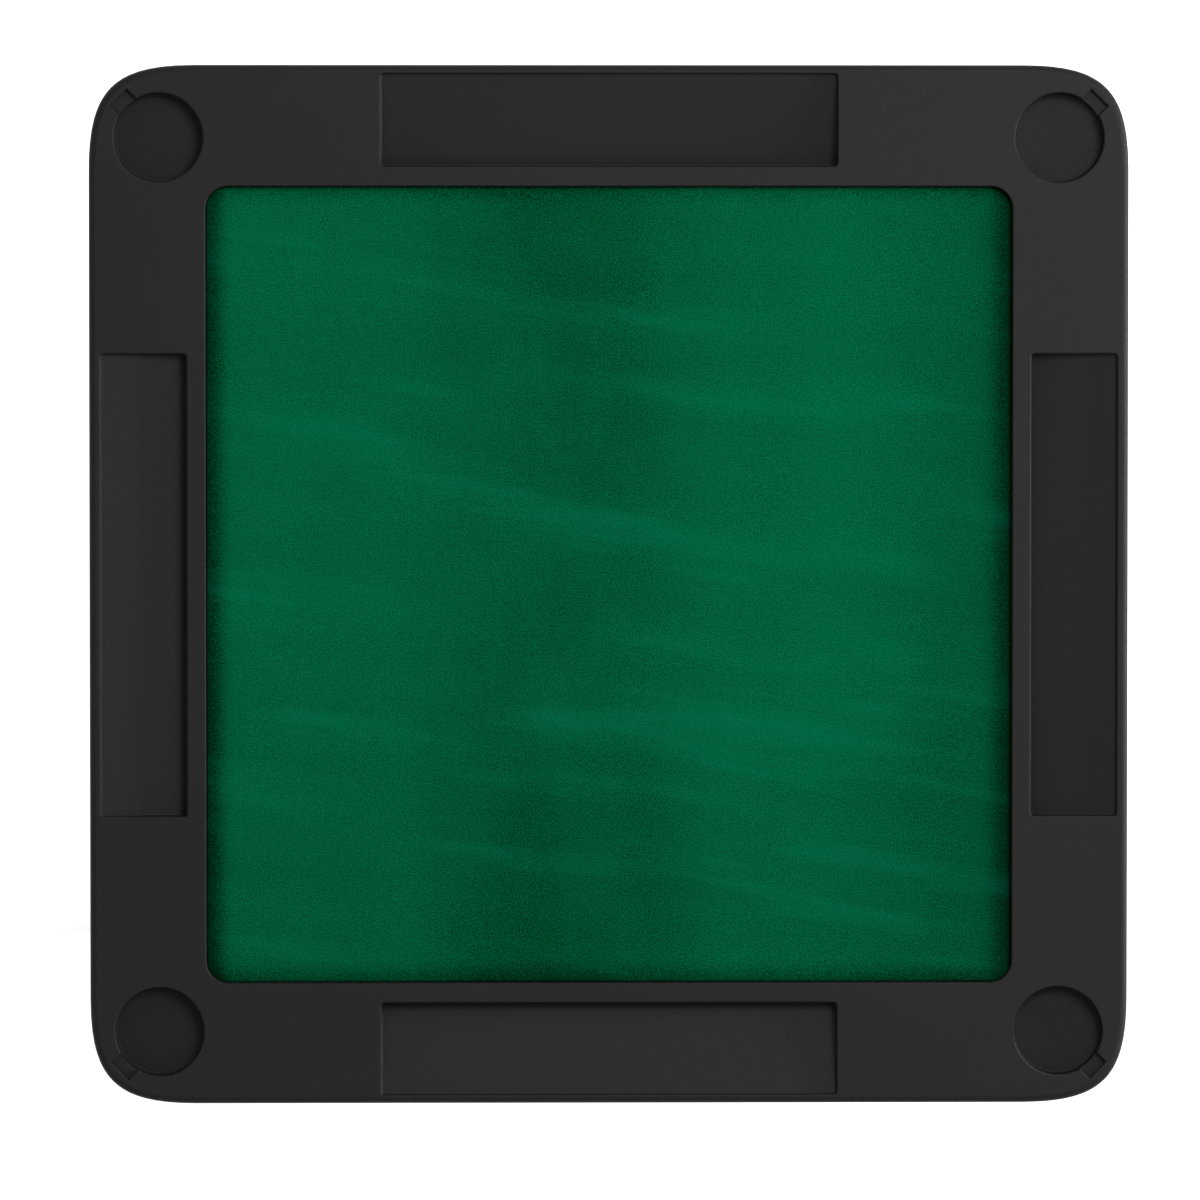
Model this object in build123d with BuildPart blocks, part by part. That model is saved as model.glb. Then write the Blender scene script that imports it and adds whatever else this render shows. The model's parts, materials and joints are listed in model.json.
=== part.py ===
from build123d import *
import os
from math import atan2, cos, degrees, hypot, radians, sin

# Square four-player card table. The origin is on the floor under the table's centre, +Z is up,
# +Y is the back. The legs are drawn standing and locked. Every corner has the same leg gear,
# turned by a quarter turn, so each piece is modelled once, at the back right corner.

# ---- driving dimensions, mm ----
table_height = 724.0          # floor to rim, 28.5 in
rim_half = 444.5              # half of the 35 in square
rim_depth = 34.0              # height of the moulded rim, top to skirt edge
rim_corner = 90.0             # length of the soft corner curve along each side
rim_handle = 21.2             # how far the corner curve's handles stay from the sharp corner
rim_round = 6.0               # rounding along the outer top edge
wall = 3.0                    # moulded wall of skirt, cups and trays
skin = 3.5                    # moulded top skin
edge_round = 1.3              # rounding around every recess

field_x = 690.0               # recess of the felt field, left to right
field_y = 682.0               # recess of the felt field, front to back
field_corner = 19.0
field_drop = 8.5              # felt surface below the rim
field_gap = 1.3               # felt panel to the recess's wall
felt_wrap = 1.0               # how far the felt stands proud of the board that it is wrapped round
felt_thick = 1.5
underlay_thick = 3.0
underlay_inset = 13.0         # the foam stops short, so the felt can round off over the board's edge
play_board_thick = 8.0
base_board_thick = 9.0
base_gap = 1.0                # base board to skirt

cup_x = 385.0                 # cup centres from the table's centre
cup_y = 382.5
cup_radius = 38.0
cup_depth = 18.0
cup_floor_round = 1.5
notch_width = 20.0            # finger notch on the outward diagonal of each cup
notch_reach = 48.2            # cup centre to the notch's outer wall
notch_depth = 5.5

tray_shallow = 5.5            # tray depth at the outer side
tray_deep = 17.0              # tray depth at the felt side
tray_corner = 3.0
tray_floor_round = 1.5
back_tray = dict(half_length=195.2, inner=357.9, outer=437.1)
side_tray = dict(half_length=198.0, inner=361.1, outer=434.8)

boss_radius = 6.0             # screw bosses between rim and base board
boss_near = 270.0             # boss places along and across a side
boss_far = 398.0
panel_screw_near = 180.0      # screws through the base board into the felt panel's board
panel_screw_far = 230.0

tube_radius = 11.0
tube_wall = 1.2
tube_above_pin = 7.0
splay = 3.0                   # the foot stands this many degrees outside the hinge
hinge_along = 364.0           # hinge pin from the table's centre, along the leg's fold
hinge_across = 335.0          # fold plane from the table's centre
hinge_height = 676.0
pin_radius = 4.0
pin_fit = 0.08                # radial running clearance of every pivot
pivot_gap = 0.1               # end clearance of every pivot
plate = 2.5                   # steel strip of brackets and stays

foot_radius = 14.0
foot_sleeve_radius = 12.8
foot_length = 30.0
foot_pad = 9.0                # height of the foot's wide pad
foot_flare = 3.0              # height over which the sleeve widens to the pad
foot_web = 5.0                # rubber under the tube's end

bracket_length = 44.0         # hinge bracket's base plate, along and across the fold
bracket_width = 60.0
bend = 3.0                    # rounded corners of the steel plates
ear_offset = 11.5             # hinge ears from the fold plane
ear_reach = 12.0
ear_round = 10.0
stop_gap = 0.35               # leg to the bracket's stop web
splay_room = 0.9              # how far the splayed tube leans out behind the stop web
stop_low = 16.0               # stop web's lower edge below the pin
hinge_head_radius = 6.5
stay_pin = 3.0                # radius of the stay's rivets
stay_width = 18.0
stay_on_leg = 150.0           # stay pivot from the hinge, along the leg
stay_on_top = 110.0           # stay pivot from the hinge, along the fold
stay_gap = 0.4                # between the links and their ear
head_thick = 2.2
head_radius = 5.5
flush_head = 1.0              # rivet head sunk in the upper link
flush_radius = 5.0
elbow_play = 0.3              # eye of the lower link at the elbow
stay_base = 24.0              # width of the stay bracket's base

clip_at = 480.0               # leg clip from the hinge, along the fold
clip_gap = 0.35               # tube to clip wall
clip_wall = 2.5
clip_width = 18.0
clip_drop = 7.0               # clip walls end this far below the folded tube's centre
clip_base = 3.0
clip_base_length = 54.0

screw_radius = 2.0
screw_play = 0.05
screw_head_radius = 4.0
screw_head = 2.3
screw_head_round = 1.0
screw_bite = 7.5              # screw length inside the base board
panel_bite = 5.5              # screw length inside the felt panel's board
boss_bite = 12.0              # screw length inside a boss
hole_spare = 1.0              # hole drilled past the screw's end
slot_width = 1.2              # cross recess
slot_depth = 1.1

# ---- levels and worked-out sizes ----
rim_bottom = table_height - rim_depth
felt_top = table_height - field_drop
underlay_top = felt_top - felt_thick
play_top = underlay_top - underlay_thick
base_top = play_top - play_board_thick
base_bottom = base_top - base_board_thick
under = base_bottom - hinge_height             # underside of the base board above the hinge pin
leg_length = hinge_height / cos(radians(splay))
corners = dict(back_right=0, back_left=90, front_left=180, front_right=270)

# The stay is straight when the leg stands and folded flat when the leg is up, which fixes
# its two link lengths: their sum is the rest distance, their difference the folded one.
leg_pivot = (-stay_on_leg * sin(radians(splay)), -stay_on_leg * cos(radians(splay)))
stay_straight = hypot(stay_on_top - leg_pivot[0], leg_pivot[1])
lower_link = (stay_straight + stay_on_leg - stay_on_top) / 2
upper_link = stay_straight - lower_link
stay_angle = degrees(atan2(-leg_pivot[1], stay_on_top - leg_pivot[0]))
elbow = (
    stay_on_top - upper_link * cos(radians(stay_angle)),
    -upper_link * sin(radians(stay_angle)),
)

# Sketch planes of the back right leg: x runs along the fold, y up, from the hinge pin.
fold_plane = Plane(origin=(hinge_along, hinge_across, hinge_height), x_dir=(-1, 0, 0), z_dir=(0, 1, 0))
leg_down = (sin(radians(splay)), 0, -cos(radians(splay)))
leg_plane = Plane(origin=fold_plane.origin, x_dir=(0, 1, 0), z_dir=leg_down)
leg_side = Plane(origin=fold_plane.origin, x_dir=leg_down, z_dir=(0, 1, 0))
under_plane = Plane(origin=(hinge_along, hinge_across, base_bottom), x_dir=(-1, 0, 0), z_dir=(0, 0, 1))

# Layers of the stay beside the tube, as distances from the fold plane towards the centre.
lower_layer = ear_offset
upper_layer = lower_layer + plate + stay_gap
stay_ear_layer = upper_layer + plate + stay_gap

hinge_screws = [(along, across) for along in (-15, 15) for across in (-22, 22)]
stay_screws = [(stay_on_top + along, stay_ear_layer + 14) for along in (-11, 11)]
clip_screws = [(clip_at, across) for across in (-20, 20)]
frame_bosses = [(x, y) for x in (-boss_near, boss_near) for y in (-boss_far, boss_far)]
frame_bosses += [(y, x) for x, y in frame_bosses]
panel_rows = (-panel_screw_near, panel_screw_near)
panel_screws = [(x, y) for x in panel_rows for y in panel_rows]
panel_screws += [(0, panel_screw_far), (0, -panel_screw_far), (panel_screw_far, 0), (-panel_screw_far, 0)]

os.makedirs("parts", exist_ok=True)


def save(shape, name):
    """Label one finished piece and write it."""
    shape.label = name
    export_step(shape, f"parts/{name}.step")


def save_at_corners(shape, name):
    """Write the piece once for each corner of the table."""
    for corner, turn in corners.items():
        with BuildPart() as placed:
            add(shape, rotation=(0, 0, turn))
        save(placed.part, f"{name}_{corner}")


def quarter_turn(x, y, turns):
    """Turn a plan point about the table's centre by quarter turns."""
    for _ in range(turns):
        x, y = -y, x
    return (x, y)


def soft_square(inset):
    """Face of the table's outline, set in by a distance: straight sides and long soft corners."""
    half = rim_half - inset
    corner = rim_corner - inset
    straight = half - corner
    pull = half - rim_handle * corner / rim_corner
    with BuildSketch() as outline:
        with BuildLine():
            for turns in range(4):
                start = quarter_turn(half, straight, turns)
                end = quarter_turn(straight, half, turns)
                Bezier(start, quarter_turn(half, pull, turns), quarter_turn(pull, half, turns), end)
                Line(end, quarter_turn(half, straight, turns + 1))
        make_face()
    return outline.sketch


def field_outline(grow):
    """Rounded rectangle of the felt field's recess, grown on every side."""
    with BuildSketch() as outline:
        RectangleRounded(field_x + 2 * grow, field_y + 2 * grow, field_corner + grow)
    return outline.sketch


def on_table(points):
    """Plan places, at all four corners, of points given along and inwards from a fold plane."""
    return [
        quarter_turn(hinge_along - along, hinge_across - inwards, turns)
        for along, inwards in points
        for turns in range(4)
    ]


# ---- the top ----
def make_trays(grow, top):
    """Space of the four chip trays with sloping floors, or with grow the walls around them."""
    with BuildPart() as trays:
        for corner_turn, tray in ((0, back_tray), (90, side_tray), (180, back_tray), (270, side_tray)):
            add(make_tray(grow, top, **tray), rotation=(0, 0, corner_turn))
    return trays.part


def make_tray(grow, top, half_length, inner, outer):
    """Space of the back chip tray: its floor rises from the felt side to the outer side."""
    with BuildPart() as tray:
        with BuildSketch(Plane.YZ):
            Polygon(
                (inner - grow, top),
                (inner - grow, table_height - tray_deep - grow),
                (outer + grow, table_height - tray_shallow - grow),
                (outer + grow, top),
                align=None,
            )
        extrude(amount=half_length + grow, both=True)
        fillet(tray.edges().filter_by(Axis.Z), radius=tray_corner)
        fillet(tray.faces().sort_by(Axis.Z)[0].edges(), radius=tray_floor_round)
    return tray.part


def make_cups(grow, top):
    """Space of the four cups with their finger notches, or with grow the walls around them."""
    floor = table_height - cup_depth - grow
    notch_floor = table_height - notch_depth - grow
    with BuildPart() as cups:
        with BuildSketch(Plane.XY.offset(floor)):
            with Locations((cup_x, cup_y)):
                Circle(cup_radius + grow)
        extrude(amount=top - floor)
        fillet(cups.faces().sort_by(Axis.Z)[0].edges(), radius=cup_floor_round)
        with BuildSketch(Plane(origin=(cup_x, cup_y, notch_floor), x_dir=(1, 1, 0), z_dir=(0, 0, 1))):
            with Locations(((notch_reach + grow) / 2, 0)):
                Rectangle(notch_reach + grow, notch_width + 2 * grow)
        extrude(amount=top - notch_floor)
        mirror(about=Plane.YZ)
        mirror(about=Plane.XZ)
    return cups.part


def make_frame_hollow():
    """Space inside the skirt, under the top skin."""
    outline = soft_square(wall)
    with BuildPart() as hollow:
        with BuildSketch(Plane.XY.offset(rim_bottom)):
            add(outline)
        extrude(amount=rim_depth - skin)
        fillet(hollow.faces().sort_by(Axis.Z)[-1].edges(), radius=rim_round - wall / 2)
    return hollow.part


def make_top_frame():
    """Moulded rim: skirt, top skin, trays, cups, wall of the felt field's recess and screw bosses."""
    inside_skin = table_height - skin / 2
    cut_top = table_height + skin
    outline = soft_square(0)
    hollow = make_frame_hollow()
    field_wall = field_outline(wall)
    field_space = field_outline(0)
    tray_walls = make_trays(wall, inside_skin)
    cup_walls = make_cups(wall, inside_skin)
    tray_spaces = make_trays(0, cut_top)
    cup_spaces = make_cups(0, cut_top)
    with BuildPart() as top_frame:
        with BuildSketch(Plane.XY.offset(rim_bottom)):
            add(outline)
        extrude(amount=rim_depth)
        fillet(top_frame.faces().sort_by(Axis.Z)[-1].edges(), radius=rim_round)
        add(hollow, mode=Mode.SUBTRACT)
        with BuildSketch(Plane.XY.offset(base_top)):
            add(field_wall)
            with Locations(*frame_bosses):
                Circle(boss_radius)
        extrude(amount=inside_skin - base_top)
        add(tray_walls)
        add(cup_walls)
        with BuildSketch(Plane.XY.offset(base_top)):
            add(field_space)
        extrude(amount=cut_top - base_top, mode=Mode.SUBTRACT)
        add(tray_spaces, mode=Mode.SUBTRACT)
        add(cup_spaces, mode=Mode.SUBTRACT)
        with BuildSketch(Plane.XY.offset(base_top)):
            with Locations(*frame_bosses):
                Circle(screw_radius + screw_play)
        extrude(amount=boss_bite + hole_spare, mode=Mode.SUBTRACT)
        rim_face = top_frame.faces().filter_by_position(Axis.Z, table_height, table_height)[0]
        fillet([edge for wire in rim_face.inner_wires() for edge in wire.edges()], radius=edge_round)
    return top_frame.part


def make_layer(bottom, thickness, inset):
    """One flat layer of the felt panel, set in from the recess's wall."""
    outline = field_outline(-inset)
    with BuildPart() as layer:
        with BuildSketch(Plane.XY.offset(bottom)):
            add(outline)
        extrude(amount=thickness)
    return layer.part


def make_play_board():
    """Board of the felt panel, with the holes of the screws that hold it to the base board."""
    with BuildPart() as play_board:
        add(make_layer(base_top, play_board_thick, field_gap + felt_wrap))
        with BuildSketch(Plane.XY.offset(base_top)):
            with Locations(*panel_screws):
                Circle(screw_radius + screw_play)
        extrude(amount=panel_bite + hole_spare, mode=Mode.SUBTRACT)
    return play_board.part


def make_base_board():
    """Board that closes the rim from below and carries the leg gear, with its screw holes."""
    outline = soft_square(wall + base_gap)
    pilot_places = on_table(hinge_screws + stay_screws + clip_screws)
    with BuildPart() as base_board:
        with BuildSketch(Plane.XY.offset(base_bottom)):
            add(outline)
        extrude(amount=base_board_thick)
        with BuildSketch(Plane.XY.offset(base_bottom)):
            with Locations(*pilot_places):
                Circle(screw_radius + screw_play)
        extrude(amount=screw_bite + screw_play, mode=Mode.SUBTRACT)
        with BuildSketch(Plane.XY.offset(base_bottom)):
            with Locations(*frame_bosses, *panel_screws):
                Circle(screw_radius + screw_play)
        extrude(amount=base_board_thick, mode=Mode.SUBTRACT)
    return base_board.part


def make_screws(places, head_level, length):
    """Pan-head screws driven upwards, with their heads' upper sides at one level."""
    head_end = head_level - screw_head
    with BuildPart() as screws:
        with BuildSketch(Plane.XY.offset(head_level)):
            with Locations(*places):
                Circle(screw_radius)
        extrude(amount=length)
        with BuildSketch(Plane.XY.offset(head_level)):
            with Locations(*places):
                Circle(screw_head_radius)
        extrude(amount=-screw_head)
        head_faces = screws.faces().filter_by_position(Axis.Z, head_end, head_end)
        fillet(head_faces.edges(), radius=screw_head_round)
        with BuildSketch(Plane.XY.offset(head_end)):
            with Locations(*places):
                Rectangle(screw_head_radius, slot_width)
                Rectangle(slot_width, screw_head_radius)
        extrude(amount=slot_depth, mode=Mode.SUBTRACT)
    return screws.part


# ---- leg gear of the back right corner ----
def make_leg_tube():
    """Round steel tube with holes for the hinge pin and the stay's rivet."""
    with BuildPart() as leg_tube:
        with BuildSketch(leg_plane.offset(-tube_above_pin)):
            Circle(tube_radius)
            Circle(tube_radius - tube_wall, mode=Mode.SUBTRACT)
        extrude(amount=tube_above_pin + leg_length - foot_web)
        with BuildSketch(fold_plane):
            Circle(pin_radius + pin_fit)
            with Locations(leg_pivot):
                Circle(stay_pin + screw_play)
        extrude(amount=2 * tube_radius, both=True, mode=Mode.SUBTRACT)
    return leg_tube.part


def make_foot():
    """Rubber foot: sleeve over the tube's end, wide pad cut level with the floor."""
    sleeve_top = leg_length - foot_length
    pad_top = leg_length - foot_pad
    past_floor = leg_length + foot_pad
    with BuildPart() as foot:
        with BuildSketch(leg_side) as profile:
            Polygon(
                (sleeve_top, tube_radius),
                (sleeve_top, foot_sleeve_radius),
                (pad_top, foot_sleeve_radius),
                (pad_top + foot_flare, foot_radius),
                (past_floor, foot_radius),
                (past_floor, 0),
                (leg_length - foot_web, 0),
                (leg_length - foot_web, tube_radius),
                align=None,
            )
            fillet(profile.vertices().sort_by_distance((sleeve_top, foot_sleeve_radius))[0], radius=1.0)
            fillet(profile.vertices().sort_by_distance((pad_top + foot_flare, foot_radius))[0], radius=1.0)
        revolve(axis=Axis(leg_side.origin, leg_down))
        split(bisect_by=Plane.XY, keep=Keep.TOP)
    return foot.part


def make_hinge_bracket():
    """Folded steel bracket: base plate with four screw holes, two ears and the stop web."""
    stop_inner = -(tube_radius + stop_gap + splay_room)
    with BuildPart() as bracket:
        with BuildSketch(under_plane):
            Rectangle(bracket_length, bracket_width)
            with Locations(*hinge_screws):
                Circle(screw_radius + screw_play, mode=Mode.SUBTRACT)
        extrude(amount=-plate)
        fillet(bracket.edges().filter_by(Axis.Z), radius=bend)
        for side in (fold_plane.offset(ear_offset), fold_plane.offset(-ear_offset - plate)):
            with BuildSketch(side) as ear:
                Polygon(
                    (ear_reach, under),
                    (stop_inner - plate, under),
                    (stop_inner - plate, -stop_low),
                    (ear_reach, -stop_low),
                    align=None,
                )
                fillet(ear.vertices().sort_by_distance((ear_reach, -stop_low))[0], radius=ear_round)
                Circle(pin_radius + screw_play, mode=Mode.SUBTRACT)
            extrude(amount=plate)
        with BuildSketch(fold_plane):
            with Locations((stop_inner - plate / 2, -(stop_low + tube_above_pin) / 2)):
                Rectangle(plate, stop_low - tube_above_pin)
        extrude(amount=ear_offset + plate, both=True)
    return bracket.part


def make_pin(at, radius, near, far, heads):
    """Round pin across the fold plane between two distances, with its (start, end, radius) heads."""
    with BuildPart() as pin:
        for start, end, size in [(near, far, radius)] + heads:
            with BuildSketch(fold_plane.offset(start)):
                with Locations(at):
                    Circle(size)
            extrude(amount=end - start)
    return pin.part


def make_hinge_pin():
    """Pin through both ears of the bracket, headed outside them."""
    side = ear_offset + plate
    heads = [(side, side + head_thick, hinge_head_radius), (-side - head_thick, -side, hinge_head_radius)]
    return make_pin((0, 0), pin_radius, -side, side, heads)


def make_leg_rivet():
    """Rivet through the tube and the lower link."""
    link_side = lower_layer + plate + pivot_gap
    heads = [
        (tube_radius, tube_radius + head_thick, head_radius),
        (-link_side - head_thick, -link_side, head_radius),
    ]
    return make_pin(leg_pivot, stay_pin, -link_side, tube_radius, heads)


def make_stay_rivet():
    """Rivet of the stay bracket: domed side on the ear, flush side sunk in the upper link."""
    ear_side = stay_ear_layer + plate
    heads = [
        (-ear_side - head_thick, -ear_side, head_radius),
        (-upper_layer - flush_head, -upper_layer, flush_radius),
    ]
    return make_pin((stay_on_top, 0), stay_pin, -ear_side, -upper_layer, heads)


def make_elbow_rivet():
    """Rivet of the stay's elbow, carried by the upper link."""
    link_side = upper_layer + plate
    heads = [(-link_side - head_thick, -link_side, head_radius)]
    return make_pin(elbow, stay_pin, -link_side, -upper_layer, heads)


def make_link(start, end, layer, start_hole, end_hole):
    """Flat stay link with rounded ends between two pivots, lying in one layer."""
    middle = ((start[0] + end[0]) / 2, (start[1] + end[1]) / 2)
    reach = hypot(end[0] - start[0], end[1] - start[1])
    slope = degrees(atan2(end[1] - start[1], end[0] - start[0]))
    with BuildPart() as link:
        with BuildSketch(fold_plane.offset(-layer - plate)):
            with Locations(middle):
                SlotCenterToCenter(reach, stay_width, rotation=slope)
            with Locations(start):
                Circle(start_hole, mode=Mode.SUBTRACT)
            with Locations(end):
                Circle(end_hole, mode=Mode.SUBTRACT)
        extrude(amount=plate)
    return link.part


def make_stay_upper():
    """Upper link, with a seat for the flush head of the bracket's rivet."""
    with BuildPart() as stay_upper:
        start = (stay_on_top, 0)
        add(make_link(start, elbow, upper_layer, stay_pin + pin_fit, stay_pin + screw_play))
        with BuildSketch(fold_plane.offset(-upper_layer)):
            with Locations(start):
                Circle(flush_radius + pin_fit)
        extrude(amount=-flush_head - pivot_gap, mode=Mode.SUBTRACT)
    return stay_upper.part


def make_stay_lower():
    """Lower link, with a plain eye at the elbow."""
    return make_link(leg_pivot, elbow, lower_layer, stay_pin + pin_fit, stay_pin + elbow_play)


def make_stay_bracket():
    """Angle bracket under the base board that holds the stay's upper end."""
    with BuildPart() as stay_bracket:
        with BuildSketch(under_plane):
            with Locations((stay_on_top, stay_ear_layer + stay_base / 2)):
                Rectangle(2 * stay_base, stay_base)
            with Locations(*stay_screws):
                Circle(screw_radius + screw_play, mode=Mode.SUBTRACT)
        extrude(amount=-plate)
        fillet(stay_bracket.edges().filter_by(Axis.Z), radius=bend)
        with BuildSketch(fold_plane.offset(-stay_ear_layer - plate)):
            with Locations((stay_on_top, (under - plate) / 2)):
                Rectangle(stay_width, under - plate)
            with Locations((stay_on_top, 0)):
                Circle(stay_width / 2)
                Circle(stay_pin + screw_play, mode=Mode.SUBTRACT)
        extrude(amount=plate)
    return stay_bracket.part


def make_leg_clip():
    """Plastic clip that holds the folded leg between two walls."""
    inner = tube_radius + clip_gap
    outer = inner + clip_wall
    with BuildPart() as leg_clip:
        with BuildSketch(under_plane):
            with Locations((clip_at, 0)):
                Rectangle(clip_width, clip_base_length)
            with Locations(*clip_screws):
                Circle(screw_radius + screw_play, mode=Mode.SUBTRACT)
        extrude(amount=-clip_base)
        with BuildSketch(under_plane):
            with Locations((clip_at, (inner + outer) / 2), (clip_at, -(inner + outer) / 2)):
                Rectangle(clip_width, clip_wall)
        extrude(amount=-under - clip_drop)
        fillet(leg_clip.faces().sort_by(Axis.Z)[:2].edges().filter_by(Axis.X), radius=clip_wall / 3)
    return leg_clip.part


# ---- write every piece ----
save(make_top_frame(), "top_frame")
save(make_base_board(), "base_board")
save(make_play_board(), "play_board")
save(make_layer(play_top, underlay_thick, underlay_inset), "felt_underlay")
save(make_layer(underlay_top, felt_thick, field_gap), "felt_cloth")
save(make_screws(frame_bosses, base_bottom, base_board_thick + boss_bite), "frame_screws")
save(make_screws(panel_screws, base_bottom, base_board_thick + panel_bite), "play_board_screws")
save(make_screws(on_table(hinge_screws), base_bottom - plate, plate + screw_bite), "hinge_bracket_screws")
save(make_screws(on_table(stay_screws), base_bottom - plate, plate + screw_bite), "stay_bracket_screws")
save(make_screws(on_table(clip_screws), base_bottom - clip_base, clip_base + screw_bite), "leg_clip_screws")
save_at_corners(make_hinge_bracket(), "hinge_bracket")
save_at_corners(make_hinge_pin(), "hinge_pin")
save_at_corners(make_leg_tube(), "leg_tube")
save_at_corners(make_foot(), "foot")
save_at_corners(make_leg_rivet(), "leg_rivet")
save_at_corners(make_stay_bracket(), "stay_bracket")
save_at_corners(make_stay_rivet(), "stay_rivet")
save_at_corners(make_stay_upper(), "stay_upper")
save_at_corners(make_elbow_rivet(), "elbow_rivet")
save_at_corners(make_stay_lower(), "stay_lower")
save_at_corners(make_leg_clip(), "leg_clip")
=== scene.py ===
"""Folding card table: felt, materials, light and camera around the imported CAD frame."""

import json
from math import atan2, cos, pi, sin, sqrt

import bpy
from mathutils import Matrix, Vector


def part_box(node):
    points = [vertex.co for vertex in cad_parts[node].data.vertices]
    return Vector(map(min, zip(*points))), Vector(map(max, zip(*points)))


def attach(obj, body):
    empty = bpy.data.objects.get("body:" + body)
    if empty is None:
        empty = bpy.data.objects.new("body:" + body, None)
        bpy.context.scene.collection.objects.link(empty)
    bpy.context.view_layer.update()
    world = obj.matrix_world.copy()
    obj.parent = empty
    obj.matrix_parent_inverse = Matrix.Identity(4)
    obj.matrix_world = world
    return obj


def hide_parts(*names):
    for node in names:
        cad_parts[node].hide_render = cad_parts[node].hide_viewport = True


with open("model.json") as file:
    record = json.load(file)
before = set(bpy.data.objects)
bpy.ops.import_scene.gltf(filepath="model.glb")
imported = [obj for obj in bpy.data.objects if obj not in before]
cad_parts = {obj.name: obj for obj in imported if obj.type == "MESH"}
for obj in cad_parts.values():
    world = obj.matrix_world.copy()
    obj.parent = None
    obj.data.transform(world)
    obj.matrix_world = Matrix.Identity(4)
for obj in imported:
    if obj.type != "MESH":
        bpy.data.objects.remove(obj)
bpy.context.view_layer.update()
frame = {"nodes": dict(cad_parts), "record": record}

# ---- places read from the frame, in metres ----
table_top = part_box("top_frame")[1].z
felt_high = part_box("felt_cloth")[1]

# ---- camera ----
VIEW_WIDTH = 1.0258           # width of the picture at the rim's level
VIEW_CENTRE = (-0.0079, -0.0126)          # point of the rim's level in the middle of the picture
VIEW_FROM = (-0.11, 0.26)     # how far the camera stands off the point that it looks at
LENS = 250.0
SENSOR = 36.0

# ---- felt ----
FELT_SPREAD = 0.0010          # how far the soft edge bulges past the plain felt layer
FELT_CORNER = 0.0177          # corner radius of the felt panel
FELT_THICK = 0.0009
FELT_ROLL = 0.0016            # radius of the felt's edge
FELT_SLOPE = 0.014            # width of the padded edge that slopes down to the roll
FELT_SLOPE_DROP = 0.0026
FELT_WRAP = 0.0048            # felt hanging down the board's side
FELT_WAVE = 0.00011           # gentle unevenness of the stretched cloth
FELT_RIPPLE = 0.6             # share of a finer ripple in it
FELT_ROLL_STEPS = 4           # grid lines over the rolled edge
FELT_SLOPE_STEPS = 7          # from there to the end of the rounded corner
FELT_MIDDLE_STEPS = 60        # and from there to the middle


# ---- node helpers ----
NOISE_LOW, NOISE_HIGH = 0.3, 0.7          # nearly all of a noise texture lies between these
MIX_FIRST, MIX_SECOND, MIX_RESULT = 6, 7, 2   # colour sockets of the Mix node


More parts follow.
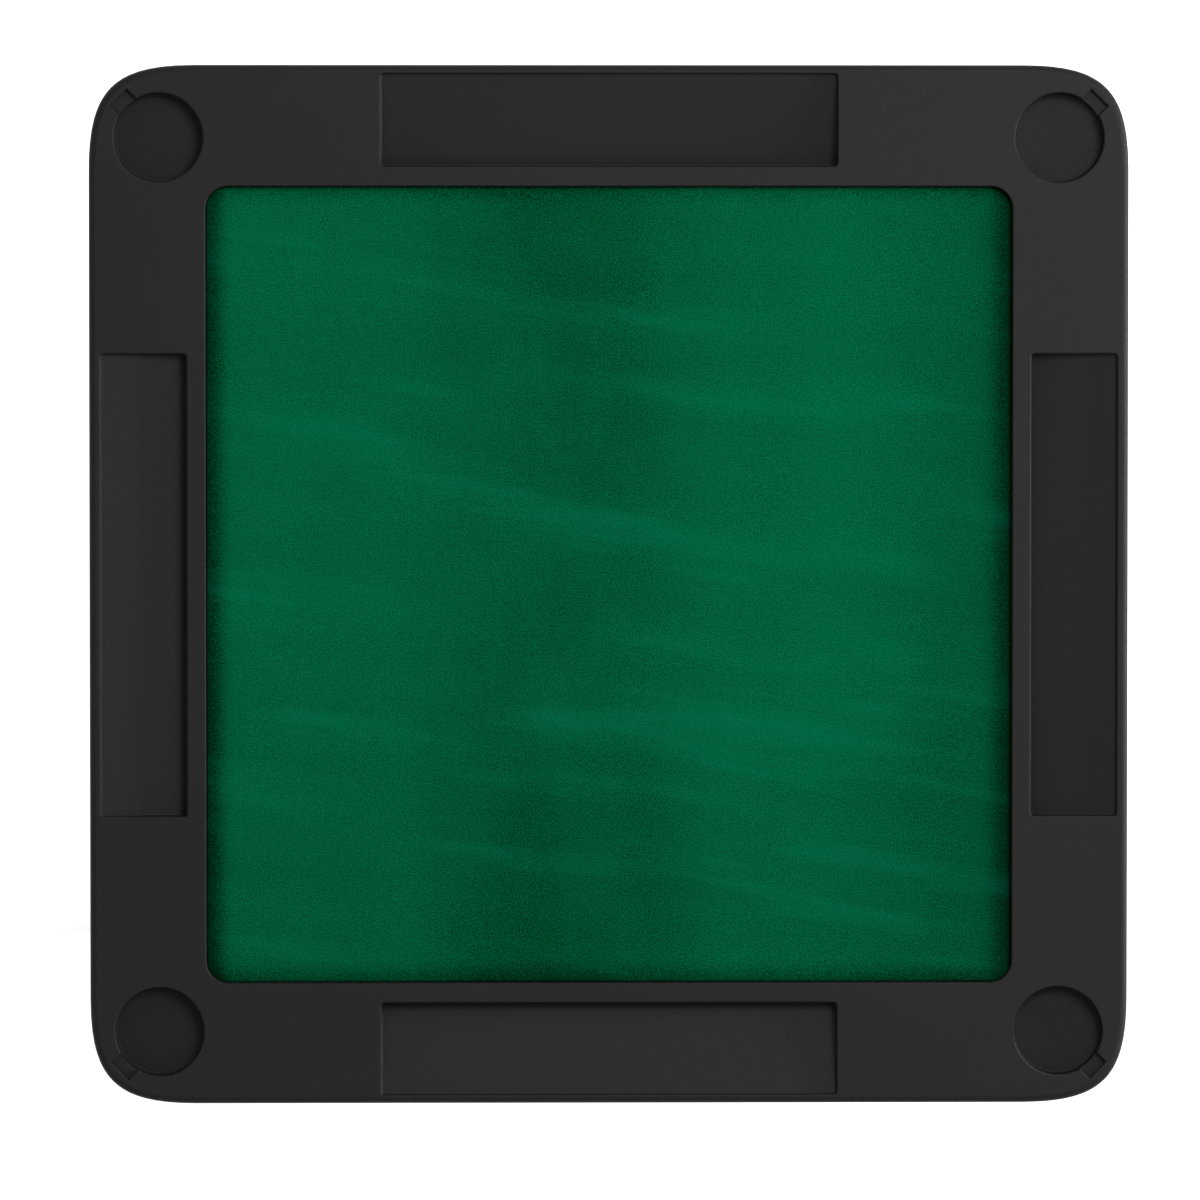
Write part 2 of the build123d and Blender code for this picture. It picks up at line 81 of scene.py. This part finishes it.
class Nodes:
    """Short names for building one material's node tree."""

    def __init__(self, name):
        self.material = bpy.data.materials.new(name)
        self.material.use_nodes = True
        self.tree = self.material.node_tree
        self.shader = self.tree.nodes["Principled BSDF"]
        self.place = self.add("ShaderNodeTexCoord").outputs["Object"]

    def add(self, kind, **settings):
        """Make a node with these settings."""
        node = self.tree.nodes.new(kind)
        for key, value in settings.items():
            setattr(node, key, value)
        return node

    def link(self, source, target):
        """Join an output to an input."""
        self.tree.links.new(source, target)

    def feed(self, target, value):
        """Link a socket, or set a plain value."""
        if hasattr(value, "is_linked"):
            self.link(value, target)
        else:
            target.default_value = value

    def stretched(self, size, turn=0.0):
        """Places along a grain turned about Z, counted in marks of this size in metres."""
        mapping = self.add("ShaderNodeMapping", vector_type="TEXTURE")
        mapping.inputs["Scale"].default_value = size
        mapping.inputs["Rotation"].default_value = (0.0, 0.0, turn)
        self.link(self.place, mapping.inputs["Vector"])
        return mapping.outputs["Vector"]

    def noise(self, scale=1.0, detail=2.0, roughness=0.5, vector=None):
        """Cloudy noise, this many marks to the metre, or to one unit of the vector if given."""
        node = self.add("ShaderNodeTexNoise")
        node.inputs["Scale"].default_value = scale
        node.inputs["Detail"].default_value = detail
        node.inputs["Roughness"].default_value = roughness
        self.link(vector or self.place, node.inputs["Vector"])
        return node.outputs["Fac"]

    def cells(self, scale, feature="F1"):
        """Distance from the middle of small cells, about this many to the metre."""
        node = self.add("ShaderNodeTexVoronoi", feature=feature)
        node.inputs["Scale"].default_value = scale
        self.link(self.place, node.inputs["Vector"])
        return node.outputs["Distance"]

    def remap(self, value, low, high, to_low, to_high, kind="LINEAR"):
        """Carry the range low to high onto another one, and hold still outside it."""
        node = self.add("ShaderNodeMapRange", interpolation_type=kind)
        ends = {"From Min": low, "From Max": high, "To Min": to_low, "To Max": to_high}
        for name, number in ends.items():
            node.inputs[name].default_value = number
        self.feed(node.inputs["Value"], value)
        return node.outputs["Result"]

    def fade(self, value, low, high, to_low, to_high):
        """The same, easing in and out of both ends."""
        return self.remap(value, low, high, to_low, to_high, kind="SMOOTHSTEP")

    def spread(self, noise, to_low, to_high):
        """Carry a noise's usual range onto another one."""
        return self.remap(noise, NOISE_LOW, NOISE_HIGH, to_low, to_high)

    def math(self, operation, first, second=0.0):
        """One sum with two sockets or values."""
        node = self.add("ShaderNodeMath", operation=operation)
        self.feed(node.inputs[0], first)
        self.feed(node.inputs[1], second)
        return node.outputs[0]

    def blend(self, parts):
        """Sum of sockets, each times its weight."""
        total = 0.0
        for socket, weight in parts:
            total = self.math("ADD", total, self.math("MULTIPLY", socket, weight))
        return total

    def mix(self, factor, first, second):
        """Blend two colours, each a socket or a plain red, green and blue."""
        node = self.add("ShaderNodeMix", data_type="RGBA")
        self.feed(node.inputs["Factor"], factor)
        for place, colour in ((MIX_FIRST, first), (MIX_SECOND, second)):
            self.feed(node.inputs[place], colour if hasattr(colour, "is_linked") else (*colour, 1.0))
        return node.outputs[MIX_RESULT]

    def axis(self, name):
        """One object coordinate: X, Y or Z."""
        node = self.add("ShaderNodeSeparateXYZ")
        self.link(self.place, node.inputs[0])
        return node.outputs[name]

    def bump(self, height, strength, distance):
        """Relief of the surface, this many metres deep."""
        node = self.add("ShaderNodeBump")
        node.inputs["Strength"].default_value = strength
        node.inputs["Distance"].default_value = distance
        self.link(height, node.inputs["Height"])
        self.link(node.outputs["Normal"], self.shader.inputs["Normal"])

    def set(self, **values):
        """Feed the shader's sockets, named with underscores for spaces."""
        for name, value in values.items():
            self.feed(self.shader.inputs[name.replace("_", " ")], value)


# ---- plain materials ----
def moulded_plastic(name, dark, light, roughness, grain, depth):
    """Near-black moulded plastic: leathery grain of the mould, faint cloudiness in the gloss."""
    n = Nodes(name)
    pebbles = n.cells(grain, "SMOOTH_F1")
    creases = n.noise(0.35 * grain, detail=4.0, roughness=0.6)
    speck = n.noise(1.3 * grain, roughness=0.7)
    sheen = n.noise(0.6 * grain, detail=3.0)
    cloud = n.noise(9.0, detail=3.0)
    tone = n.spread(n.blend([(cloud, 0.5), (speck, 0.5)]), 0.0, 1.0)
    n.set(Base_Color=n.mix(tone, (dark, dark, dark), (light, light, light)))
    n.set(Roughness=n.spread(sheen, roughness - 0.04, roughness + 0.04), Specular_IOR_Level=0.12)
    n.bump(n.blend([(pebbles, 0.7), (creases, 0.6)]), strength=0.35, distance=depth)
    return n.material


def board_material():
    """Bare fibreboard: fine pressed fibres with darker flecks."""
    n = Nodes("board")
    fibres = n.noise(detail=5.0, roughness=0.7, vector=n.stretched((0.0019, 0.0038, 0.0019)))
    flecks = n.remap(n.cells(340.0), 0.0, 0.35, -0.35, 0.25)
    tone = n.math("ADD", n.spread(fibres, 0.0, 0.75), flecks)
    n.set(Base_Color=n.mix(tone, (0.13, 0.078, 0.042), (0.31, 0.205, 0.118)))
    n.set(Roughness=n.spread(fibres, 0.62, 0.8), Specular_IOR_Level=0.3)
    n.bump(fibres, strength=0.3, distance=0.0003)
    return n.material


def powder_coat(name, colour, wear):
    """Black powder coat: orange peel, and paint rubbed thin in small patches."""
    n = Nodes(name)
    peel = n.noise(1100.0)
    rubbed = n.remap(n.noise(60.0, detail=5.0, roughness=0.65), 0.62, 0.75, 0.0, wear)
    cloud = n.noise(14.0, detail=3.0)
    light = tuple(3.2 * c + 0.02 for c in colour)
    n.set(Base_Color=n.mix(n.blend([(rubbed, 1.0), (cloud, 0.12)]), colour, light))
    n.set(Roughness=n.spread(peel, 0.3, 0.44), Specular_IOR_Level=0.5)
    n.set(Coat_Weight=0.15, Coat_Roughness=0.25)
    n.bump(peel, strength=0.3, distance=0.0002)
    return n.material


def zinc_plate():
    """Zinc plating: crystalline cloud and fine turning marks."""
    n = Nodes("zinc")
    crystals = n.remap(n.cells(700.0), 0.0, 0.5, 0.0, 1.0)
    marks = n.noise(detail=4.0, roughness=0.6, vector=n.stretched((0.0033, 0.0033, 0.00024)))
    n.set(Base_Color=n.mix(crystals, (0.48, 0.49, 0.5), (0.66, 0.66, 0.64)))
    n.set(Metallic=1.0, Roughness=n.spread(marks, 0.24, 0.42))
    n.bump(marks, strength=0.2, distance=0.0001)
    return n.material


def rubber():
    """Matt rubber with a dusty bloom and fine pores."""
    n = Nodes("rubber")
    pores = n.cells(1500.0)
    bloom = n.noise(70.0, detail=4.0, roughness=0.6)
    dust = n.remap(bloom, 0.35, 0.7, 0.0, 1.0)
    n.set(Base_Color=n.mix(dust, (0.012, 0.012, 0.012), (0.028, 0.027, 0.026)))
    n.set(Roughness=n.spread(bloom, 0.72, 0.9), Specular_IOR_Level=0.35)
    n.bump(pores, strength=0.25, distance=0.0003)
    return n.material


def foam():
    """Dark foam of the underlay, which the felt hides."""
    n = Nodes("underlay")
    bubbles = n.cells(900.0)
    tone = n.remap(bubbles, 0.0, 0.5, 0.0, 1.0)
    n.set(Base_Color=n.mix(tone, (0.03, 0.03, 0.033), (0.075, 0.075, 0.08)), Roughness=0.95)
    n.bump(bubbles, strength=0.5, distance=0.0005)
    return n.material


# ---- felt material ----
FELT_DARK = (0.0003, 0.020, 0.0068)
FELT_LIGHT = (0.0009, 0.118, 0.0437)
FELT_BRUSHED = (0.0009, 0.118, 0.067)     # nap brushed flat, a little bluer
TONE_LOW, TONE_HIGH = -0.75, 0.5          # the tones of the darkest and the lightest felt
FIBRE_SWING = 0.42            # how far single fibres swing the tone up and down
CLOUD_SWING = 0.05            # and the matting, the drifting bands and the columns
RUBBED_DROP = 0.33            # the worn band down the middle
RUBBED_MIDDLE = -0.04         # its place in X
BRUSHED_RISE = 0.10
FRONT_PAINTED_SHADE = 0.10             # painted shade, darker towards the front, away from the light
RIGHT_PAINTED_SHADE = 0.19             # painted shade, darker towards the right
BORDER_START = 0.002          # the painted shade at the border is full up to here from the felt's edge
# painted shade along the felt's borders, where the rim shades it: how dark and how wide at the sides, the
# back and the front
SIDE_SHADE, SIDE_WIDTH = 0.62, 0.0235
BACK_SHADE, BACK_WIDTH = 0.16, 0.016
FRONT_SHADE, FRONT_WIDTH = 0.24, 0.022


def felt_clouds(n, fibres, matting):
    """Tone of the nap alone: fibres, matting, drifting bands and faint columns."""
    drift = n.noise(detail=3.0, vector=n.stretched((0.25, 0.035, 1.0), turn=-0.08))
    columns = n.noise(vector=n.stretched((0.11, 0.7, 1.0)))
    tone = n.math("MULTIPLY", n.spread(fibres, -1.0, 1.0), FIBRE_SWING)
    for layer in (matting, drift, columns):
        tone = n.math("ADD", tone, n.spread(layer, -CLOUD_SWING, CLOUD_SWING))
    return tone


def felt_use(n):
    """Marks of use: streaks where the nap is brushed flat, and a rubbed band down the middle."""
    streak = n.noise(detail=3.0, vector=n.stretched((0.28, 0.036, 1.0), turn=-0.15))
    brushed = n.fade(streak, 0.52, 0.76, 0.0, 1.0)
    smudge = n.noise(detail=3.0, vector=n.stretched((0.11, 0.24, 1.0), turn=0.1))
    from_middle = n.math("ABSOLUTE", n.math("SUBTRACT", n.axis("X"), RUBBED_MIDDLE))
    band = n.fade(from_middle, 0.03, 0.16, 1.0, 0.0)
    return brushed, n.math("MULTIPLY", n.fade(smudge, 0.34, 0.66, 0.35, 0.9), band)


def felt_painted_shade(n):
    """Painted shade: how much darker the felt is painted towards the front, the right and its own borders.
    """
    side = n.math("SUBTRACT", felt_high.x, n.math("ABSOLUTE", n.axis("X")))
    back = n.math("SUBTRACT", felt_high.y, n.axis("Y"))
    front = n.math("ADD", felt_high.y, n.axis("Y"))
    shade = n.math(
        "ADD",
        n.fade(n.axis("Y"), -0.28, 0.0, FRONT_PAINTED_SHADE, 0.0),
        n.fade(n.axis("X"), 0.16, 0.30, 0.0, RIGHT_PAINTED_SHADE),
    )
    borders = (
        (side, SIDE_SHADE, SIDE_WIDTH),
        (back, BACK_SHADE, BACK_WIDTH),
        (front, FRONT_SHADE, FRONT_WIDTH),
    )
    for inside, depth, width in borders:
        shade = n.math("ADD", shade, n.fade(inside, BORDER_START, width, depth, 0.0))
    return shade


def felt_material():
    """Short-nap green felt: matted fibres, brushed streaks, a rubbed band, and painted shade on its border
    and towards the front and right.
    """
    n = Nodes("felt")
    fibres = n.noise(720.0, roughness=0.6)
    matting = n.noise(170.0, detail=3.0, roughness=0.6)
    brushed, rubbed = felt_use(n)
    tone = felt_clouds(n, fibres, matting)
    tone = n.math("ADD", tone, n.blend([(brushed, BRUSHED_RISE), (rubbed, -RUBBED_DROP)]))
    # painted shade: darker towards the front, the right and the borders
    tone = n.math("SUBTRACT", tone, felt_painted_shade(n))
    colour = n.mix(n.remap(tone, TONE_LOW, TONE_HIGH, 0.0, 1.0), FELT_DARK, FELT_LIGHT)
    colour = n.mix(n.math("MULTIPLY", brushed, 0.2), colour, FELT_BRUSHED)
    n.set(Base_Color=colour, Roughness=1.0, Specular_IOR_Level=0.0)
    n.set(Sheen_Weight=0.03, Sheen_Roughness=0.6, Sheen_Tint=(0.0, 0.5, 0.28, 1.0))
    n.bump(n.blend([(fibres, 0.8), (matting, 0.4)]), strength=0.5, distance=0.0009)
    return n.material


materials = {
    "rim_plastic": moulded_plastic(
        "rim_plastic", dark=0.0090, light=0.0107, roughness=0.55, grain=820.0, depth=0.00022
    ),
    "clip_nylon": moulded_plastic(
        "clip_nylon", dark=0.02, light=0.034, roughness=0.5, grain=1300.0, depth=0.0002
    ),
    "felt": felt_material(),
    "underlay": foam(),
    "board": board_material(),
    "black_steel": powder_coat("black_steel", colour=(0.011, 0.011, 0.012), wear=0.25),
    "stay_steel": powder_coat("stay_steel", colour=(0.013, 0.013, 0.014), wear=0.7),
    "zinc": zinc_plate(),
    "foot_rubber": rubber(),
}


def dress_frame():
    """Give every CAD node the material of its slot in the record."""
    slots = {part["node"]: part["material_slot"] for part in frame["record"]["subparts"]}
    for name, node in frame["nodes"].items():
        node.data.materials.clear()
        node.data.materials.append(materials[slots[name]])


# ---- felt sheet ----
def felt_wave(x, y):
    """Depth of the cloth's unevenness: swells about 0.3 m long under a ripple of 0.09 m."""
    swell = sin(23 * x + 1.3) * sin(17 * y + 0.4)
    ripple = FELT_RIPPLE * sin(61 * x - 37 * y)
    return FELT_WAVE * (1 + FELT_RIPPLE + swell + ripple)


def felt_relief(x, y, inside):
    """Depth of the felt below its highest level, at a distance inside its border."""
    slope = FELT_SLOPE_DROP * max(1.0 - inside / FELT_SLOPE, 0.0) ** 2
    short = max(FELT_ROLL - inside, 0.0)
    roll = FELT_ROLL - sqrt(FELT_ROLL ** 2 - short ** 2)
    return slope + roll + felt_wave(x, y)


def felt_lines(half):
    """Places of the grid lines across the felt: close over its edge, even between."""
    inset = [FELT_ROLL * (1 - cos(pi / 2 * k / FELT_ROLL_STEPS)) for k in range(FELT_ROLL_STEPS)]
    inset += [FELT_ROLL + (FELT_CORNER - FELT_ROLL) * k / FELT_SLOPE_STEPS for k in range(FELT_SLOPE_STEPS)]
    reach = half - FELT_CORNER
    inset += [FELT_CORNER + reach * k / FELT_MIDDLE_STEPS for k in range(FELT_MIDDLE_STEPS)]
    return [d - half for d in inset] + [0.0] + [half - d for d in reversed(inset)]


def round_corner(x, y, half_x, half_y):
    """Pull a point of a square corner onto the rounded one."""
    over_x = max(abs(x) - (half_x - FELT_CORNER), 0.0)
    over_y = max(abs(y) - (half_y - FELT_CORNER), 0.0)
    if not (over_x and over_y):
        return x, y
    pull = 1 - max(over_x, over_y) / sqrt(over_x ** 2 + over_y ** 2)
    return x - over_x * pull * (1 if x > 0 else -1), y - over_y * pull * (1 if y > 0 else -1)


def border_of(wide, deep):
    """Numbers of a grid's outermost points, once round it."""
    front = list(range(wide))
    right = [j * wide + wide - 1 for j in range(1, deep)]
    back = [(deep - 1) * wide + i for i in range(wide - 2, -1, -1)]
    left = [j * wide for j in range(deep - 2, 0, -1)]
    return front + right + back + left


def felt_surface(half_x, half_y):
    """Upper face of the felt with its hem: a grid rounded down all along its edge."""
    columns, rows = felt_lines(half_x), felt_lines(half_y)
    wide, deep = len(columns), len(rows)
    verts = []
    for y in rows:
        for x in columns:
            inside = min(half_x - abs(x), half_y - abs(y))
            height = felt_high.z - felt_relief(x, y, inside)
            verts.append((*round_corner(x, y, half_x, half_y), height))
    faces = []
    for j in range(deep - 1):
        for i in range(wide - 1):
            a = j * wide + i
            faces.append((a, a + 1, a + wide + 1, a + wide))
    border = border_of(wide, deep)
    hem = len(verts)
    verts += [(verts[k][0], verts[k][1], verts[k][2] - FELT_WRAP) for k in border]
    for k, here in enumerate(border):
        after = (k + 1) % len(border)
        faces.append((here, hem + k, hem + after, border[after]))
    mesh = bpy.data.meshes.new("felt_surface")
    mesh.from_pydata(verts, [], faces)
    mesh.polygons.foreach_set("use_smooth", [True] * len(faces))
    mesh.update()
    return mesh


def make_felt():
    """The felt, stretched over its padded board and given its thickness."""
    half_x, half_y = felt_high.x + FELT_SPREAD, felt_high.y + FELT_SPREAD
    felt = bpy.data.objects.new("felt_sheet", felt_surface(half_x, half_y))
    bpy.context.scene.collection.objects.link(felt)
    solid = felt.modifiers.new("thickness", "SOLIDIFY")
    solid.thickness = FELT_THICK
    solid.offset = -1.0
    ready = felt.evaluated_get(bpy.context.evaluated_depsgraph_get())
    felt.data = bpy.data.meshes.new_from_object(ready)
    felt.modifiers.clear()
    felt.data.materials.clear()
    felt.data.materials.append(materials["felt"])
    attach(felt, "top")
    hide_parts("felt_cloth")


# ---- stage ----
FLOOR_REACH = 40.0            # from the middle to the floor's edge
FLOOR_GLOW = 0.52             # the floor is lit from within, so it stays white under the table
SKY = 0.6                     # strength of the white surroundings
KEY_PLACE = (1.25, 1.25, 4.3)
KEY_SIZE = 1.6
KEY_POWER = 104.0             # watts
SIDE_PLACE = (3.0, 0.2, 1.3)
SIDE_SIZE = 0.8
SIDE_POWER = 116.0


def make_floor():
    """Plain pale floor."""
    reach = FLOOR_REACH
    corners = [(-reach, -reach, 0), (reach, -reach, 0), (reach, reach, 0), (-reach, reach, 0)]
    mesh = bpy.data.meshes.new("floor")
    mesh.from_pydata(corners, [], [(0, 1, 2, 3)])
    floor = bpy.data.objects.new("floor", mesh)
    bpy.context.scene.collection.objects.link(floor)
    n = Nodes("floor")
    n.set(Base_Color=(0.86, 0.86, 0.86, 1.0), Roughness=0.9, Specular_IOR_Level=0.1)
    n.set(Emission_Color=(1.0, 1.0, 1.0, 1.0), Emission_Strength=FLOOR_GLOW)
    floor.data.materials.append(n.material)


def area_light(name, place, target, size, power):
    """Soft square light looking at a point."""
    data = bpy.data.lights.new(name, "AREA")
    data.shape = "SQUARE"
    data.size = size
    data.energy = power
    light = bpy.data.objects.new(name, data)
    light.location = place
    light.rotation_euler = (Vector(target) - Vector(place)).to_track_quat("-Z", "Y").to_euler()
    bpy.context.scene.collection.objects.link(light)


def make_lights():
    """White surroundings, a key light high over the back right and a low one on the right."""
    world = bpy.data.worlds.new("world")
    world.use_nodes = True
    sky = world.node_tree.nodes["Background"]
    sky.inputs["Color"].default_value = (1.0, 1.0, 1.0, 1.0)
    sky.inputs["Strength"].default_value = SKY
    bpy.context.scene.world = world
    centre = (0.0, 0.0, table_top)
    area_light("key", KEY_PLACE, centre, KEY_SIZE, KEY_POWER)
    area_light("side", SIDE_PLACE, centre, SIDE_SIZE, SIDE_POWER)


def make_camera():
    """Far above and almost straight down, so that the table shows with little perspective."""
    data = bpy.data.cameras.new("camera")
    data.lens = LENS
    data.sensor_width = SENSOR
    camera = bpy.data.objects.new("camera", data)
    distance = VIEW_WIDTH * LENS / SENSOR
    off_x, off_y = VIEW_FROM
    camera.location = (VIEW_CENTRE[0] + off_x, VIEW_CENTRE[1] + off_y, table_top + distance)
    camera.rotation_euler = (-atan2(off_y, distance), atan2(off_x, distance), 0.0)
    data.clip_end = 4 * distance    # well past the floor
    bpy.context.scene.collection.objects.link(camera)
    bpy.context.scene.camera = camera


dress_frame()
make_felt()
make_floor()
make_lights()
make_camera()
bpy.context.scene.view_settings.view_transform = "Standard"
